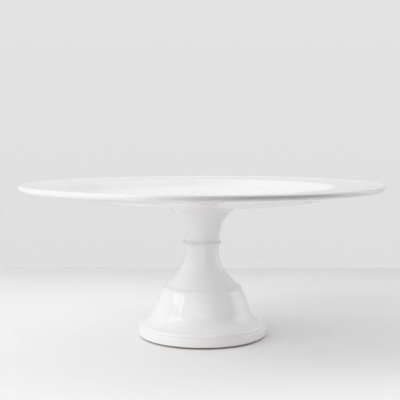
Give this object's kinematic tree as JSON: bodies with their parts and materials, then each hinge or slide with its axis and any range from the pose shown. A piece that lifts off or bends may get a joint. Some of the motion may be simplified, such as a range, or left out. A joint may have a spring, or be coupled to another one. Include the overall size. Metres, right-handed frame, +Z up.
{
  "type": "footed cake stand",
  "caption": "Round footed cake stand: a shallow dished plate with a flat rim on a flared stem, screwed to a hollow bell pedestal by a stud and a hidden hand knob.",
  "frame": {"origin": "centre of the circle that the stand rests on, at the underside of the foot's pads", "axes": "+Z up along the stem, through the plate's centre; the stand is round, so +X and +Y only place the pads and the knob's lobes"},
  "size_m": [0.305, 0.305, 0.1295],
  "materials": {
    "glaze": "glossy white glaze, unglazed where pieces join and rest",
    "brass": "machined, knurled outside",
    "resin": "matt grey-beige epoxy",
    "plated_steel": "bright zinc plate",
    "gasket": "matt white silicone sheet",
    "rubber": "matt black rubber",
    "clear_pad": "clear soft pad",
    "knob_plastic": "fine-textured black moulding"
  },
  "bodies": {
    "pedestal_base": {"pedestal": "glaze", "collar_gasket": "gasket", "foot_bumpers": "clear_pad"},
    "plate_top": {"plate": "glaze", "plate_neck": "glaze", "stud_insert": "brass", "insert_cement": "resin", "stud": "plated_steel"},
    "washers": {"rubber_washer": "rubber", "steel_washer": "plated_steel"},
    "knob": {"knob_body": "knob_plastic", "knob_bush": "brass"}
  },
  "joints": [
    {"name": "plate_lift", "type": "slide", "parent": "pedestal_base", "child": "plate_top", "axis": [0, 0, 1], "range_m": [0, 0.06]},
    {"name": "washer_drop", "type": "slide", "parent": "pedestal_base", "child": "washers", "axis": [0, 0, -1], "range_m": [0, 0.0125]},
    {"name": "knob_turn", "type": "hinge", "parent": "washers", "child": "knob", "pos_m": [0, 0, 0.0345], "axis": [0, 0, -1], "range_deg": [0, 3600]}
  ],
  "couplings": [
    {"joint": "washer_drop", "follows": "knob_turn", "m_per_rad": 0.00019894}
  ]
}
